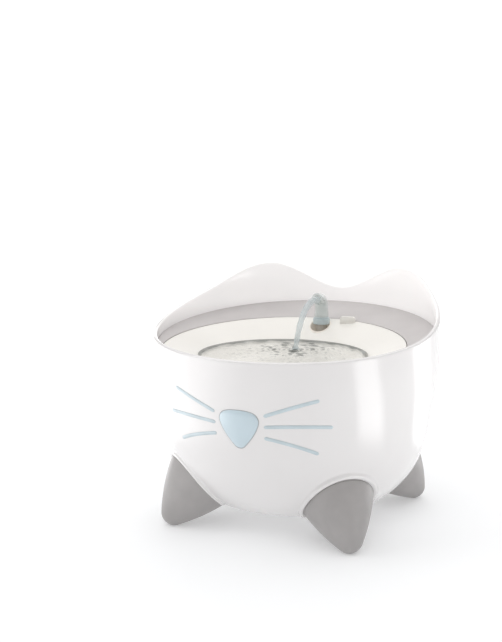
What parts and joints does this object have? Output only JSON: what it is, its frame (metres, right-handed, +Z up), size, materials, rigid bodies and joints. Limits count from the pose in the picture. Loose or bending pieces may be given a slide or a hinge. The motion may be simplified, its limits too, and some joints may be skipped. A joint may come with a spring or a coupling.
{
  "type": "pet water fountain",
  "caption": "Round pet water fountain with a cat-eared rim, a nose and whiskers on its face, conical feet, and a lift-off drinking tray with a swivelling spout.",
  "frame": {"origin": "on the bowl's vertical axis, at the floor under the foot pads", "axes": "+Z up; the face with the nose looks along -Y; +X is to the right of someone who looks at the face"},
  "size_m": [0.2424, 0.2424, 0.2031],
  "materials": {
    "white_gloss": "gloss",
    "pale_grey": "satin",
    "warm_grey": "satin",
    "dark_rubber": "matt",
    "steel": "satin",
    "blue_window": "gloss, lightly translucent",
    "soft_rubber": "matt",
    "grey_plastic": "satin",
    "blue_inlay": "satin",
    "dark_plastic": "satin",
    "clear_tube": "clear plastic, smoky",
    "copper_coil": "wound copper in resin",
    "magnet": "satin",
    "white_plastic": "satin",
    "carbon": "granular",
    "foam": "open-cell foam",
    "lead_sheath": "satin"
  },
  "bodies": {
    "base": {"bowl_shell": "white_gloss", "foot_front_left": "warm_grey", "foot_front_right": "warm_grey", "foot_pads": "dark_rubber", "foot_rear_left": "warm_grey", "foot_rear_right": "warm_grey", "foot_screws": "steel", "impeller_shaft": "steel", "lead_clips": "grey_plastic", "nose_window": "blue_window", "nose_window_clamp": "grey_plastic", "nose_window_seal": "soft_rubber", "power_socket": "dark_plastic", "pump_cover": "dark_plastic", "pump_housing": "dark_plastic", "pump_lead": "lead_sheath", "pump_stator": "copper_coil", "riser_tube": "clear_tube", "shaft_bushes": "grey_plastic", "socket_nut": "dark_plastic", "socket_seal": "soft_rubber", "suction_cups": "soft_rubber", "whisker_inlays_left": "blue_inlay", "whisker_inlays_right": "blue_inlay"},
    "tray": {"drinking_tray": "white_gloss", "tray_ring": "pale_grey"},
    "spout": {"spout_stem": "dark_plastic", "spout_collar": "grey_plastic", "spout_tube": "clear_tube", "spout_o_ring": "soft_rubber"},
    "filter": {"filter_cassette": "grey_plastic", "filter_pad": "carbon", "filter_foam": "foam", "filter_lid": "grey_plastic"},
    "rotor": {"impeller": "white_plastic", "impeller_magnet": "magnet"},
    "dial": {"flow_dial": "dark_plastic"}
  },
  "joints": [
    {"name": "tray_lift", "type": "slide", "parent": "base", "child": "tray", "axis": [0, 0, 1], "range_m": [0, 0.26]},
    {"name": "spout_swivel", "type": "hinge", "parent": "tray", "child": "spout", "pos_m": [0, 0.065, 0.145], "axis": [0, 0, 1], "range_deg": [-60, 60]},
    {"name": "filter_lift", "type": "slide", "parent": "base", "child": "filter", "axis": [0, 0, 1], "range_m": [0, 0.182]},
    {"name": "impeller_spin", "type": "hinge", "parent": "base", "child": "rotor", "pos_m": [0, 0.06, 0.0432], "axis": [0, 1, 0], "continuous": true},
    {"name": "flow_dial_turn", "type": "hinge", "parent": "base", "child": "dial", "pos_m": [-0.015, 0.078, 0.0492], "axis": [0, 1, 0], "range_deg": [0, 90]}
  ],
  "couplings": [
    {"joint": "filter_lift", "follows": "tray_lift", "ratio": 0.7}
  ]
}
